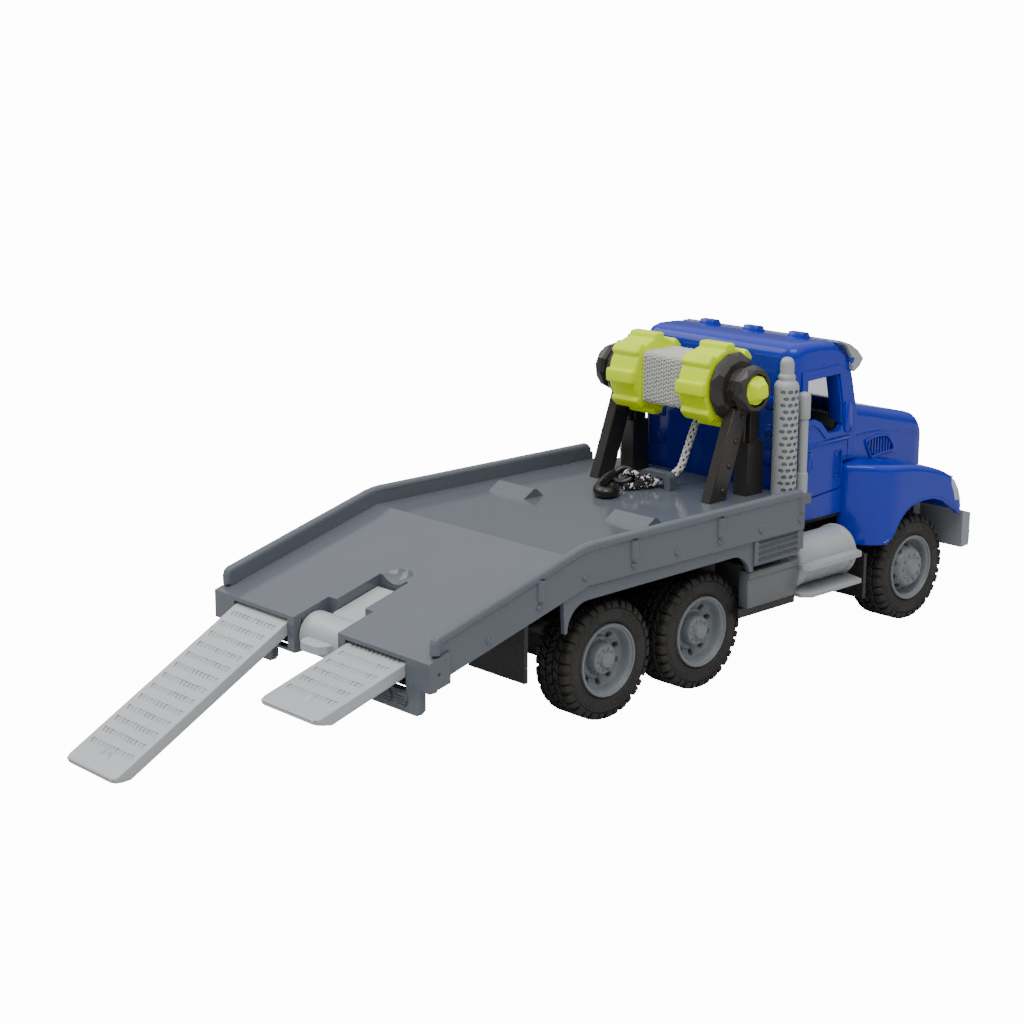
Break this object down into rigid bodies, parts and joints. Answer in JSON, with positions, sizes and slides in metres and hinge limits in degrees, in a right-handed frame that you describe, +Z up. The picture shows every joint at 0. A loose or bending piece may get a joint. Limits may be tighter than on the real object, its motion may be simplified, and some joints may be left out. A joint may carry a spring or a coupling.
{
  "type": "toy tow truck",
  "caption": "Toy flatbed tow truck with turning wheels, a hand-turned winch with rope and hook, slide-out loading ramps and a flip-up tow arm.",
  "frame": {"origin": "on the ground below the middle of the truck with its left ramp out", "axes": "+X forward along the truck, +Y to its left, +Z up"},
  "size_m": [0.3395, 0.1068, 0.1108],
  "materials": {
    "bed_grey": "gloss",
    "frame_black": "satin",
    "screw_steel": "satin",
    "trim_grey": "gloss",
    "bumper_grey": "gloss",
    "ramp_grey": "gloss",
    "winch_black": "gloss",
    "winch_neon": "gloss",
    "rope_white": "satin",
    "hook_black": "gloss",
    "tyre_black": "satin",
    "rim_grey": "gloss",
    "cab_blue": "gloss",
    "clear": "gloss",
    "interior_dark": "satin",
    "grille_dark": "gloss"
  },
  "bodies": {
    "chassis": {"air_pipes": "trim_grey", "arm_pin": "screw_steel", "bed_floor": "frame_black", "cab_interior": "interior_dark", "cab_shell": "cab_blue", "chassis_frame": "frame_black", "chassis_screws": "screw_steel", "exhaust_stack_left": "trim_grey", "exhaust_stack_right": "trim_grey", "flatbed_deck": "bed_grey", "front_bumper": "bumper_grey", "front_mudflaps": "frame_black", "fuel_tank_step_left": "trim_grey", "fuel_tank_step_right": "trim_grey", "grille": "grille_dark", "headlights": "clear", "hood_and_fenders": "cab_blue", "rear_mudflaps": "frame_black", "rope_guide": "bed_grey", "rope_knot": "rope_white", "side_panel_left": "bed_grey", "side_panel_right": "bed_grey", "side_rail_left": "bed_grey", "side_rail_right": "bed_grey", "steering_wheel": "interior_dark", "sun_visor": "trim_grey", "tail_lamps": "bed_grey", "toolbox_left": "trim_grey", "toolbox_right": "trim_grey", "tow_hook": "hook_black", "winch_bearings": "winch_black", "winch_frame_left": "winch_black", "winch_frame_right": "winch_black", "winch_rope": "rope_white", "windscreen": "clear"},
    "spool": {"spool_wheel_left": "winch_neon", "spool_wheel_right": "winch_neon", "spool_core": "winch_black", "wound_rope": "rope_white"},
    "ramp_left_slider": {"ramp_pin_left": "screw_steel"},
    "ramp_left": {"ramp_left": "ramp_grey"},
    "ramp_right": {"ramp_right": "ramp_grey", "ramp_pin_right": "screw_steel"},
    "tow_arm": {"tow_arm": "ramp_grey"},
    "wheelset_rear": {"axle_rear": "screw_steel", "tyre_rear_left": "tyre_black", "tyre_rear_right": "tyre_black", "rim_rear_left": "rim_grey", "rim_rear_right": "rim_grey"},
    "wheelset_middle": {"axle_middle": "screw_steel", "tyre_middle_left": "tyre_black", "tyre_middle_right": "tyre_black", "rim_middle_left": "rim_grey", "rim_middle_right": "rim_grey"},
    "wheelset_front": {"axle_front": "screw_steel", "tyre_front_left": "tyre_black", "tyre_front_right": "tyre_black", "rim_front_left": "rim_grey", "rim_front_right": "rim_grey"}
  },
  "joints": [
    {"name": "wheels_rear_turn", "type": "hinge", "parent": "chassis", "child": "wheelset_rear", "pos_m": [-0.022, 0, 0.02], "axis": [0, 1, 0], "continuous": true},
    {"name": "wheels_middle_turn", "type": "hinge", "parent": "chassis", "child": "wheelset_middle", "pos_m": [0.0227, 0, 0.02], "axis": [0, 1, 0], "continuous": true},
    {"name": "wheels_front_turn", "type": "hinge", "parent": "chassis", "child": "wheelset_front", "pos_m": [0.1397, 0, 0.02], "axis": [0, 1, 0], "continuous": true},
    {"name": "winch_turn", "type": "hinge", "parent": "chassis", "child": "spool", "pos_m": [0.059, 0, 0.096], "axis": [0, 1, 0], "continuous": true},
    {"name": "ramp_left_slide", "type": "slide", "parent": "chassis", "child": "ramp_left_slider", "axis": [-0.9636, 0, -0.2674], "range_m": [-0.0634, 0]},
    {"name": "ramp_left_tilt", "type": "hinge", "parent": "ramp_left_slider", "child": "ramp_left", "pos_m": [-0.10087, 0, 0.03703], "axis": [0, 1, 0], "range_deg": [0, 13.1]},
    {"name": "ramp_right_slide", "type": "slide", "parent": "chassis", "child": "ramp_right", "axis": [-0.9636, 0, -0.2674], "range_m": [-0.0243, 0.0391]},
    {"name": "tow_arm_flip", "type": "hinge", "parent": "chassis", "child": "tow_arm", "pos_m": [-0.0965, 0, 0.033], "axis": [0, 1, 0], "range_deg": [-95, 0]}
  ],
  "couplings": [
    {"joint": "ramp_left_tilt", "follows": "ramp_left_slide", "rad_per_m": -3.6062}
  ]
}
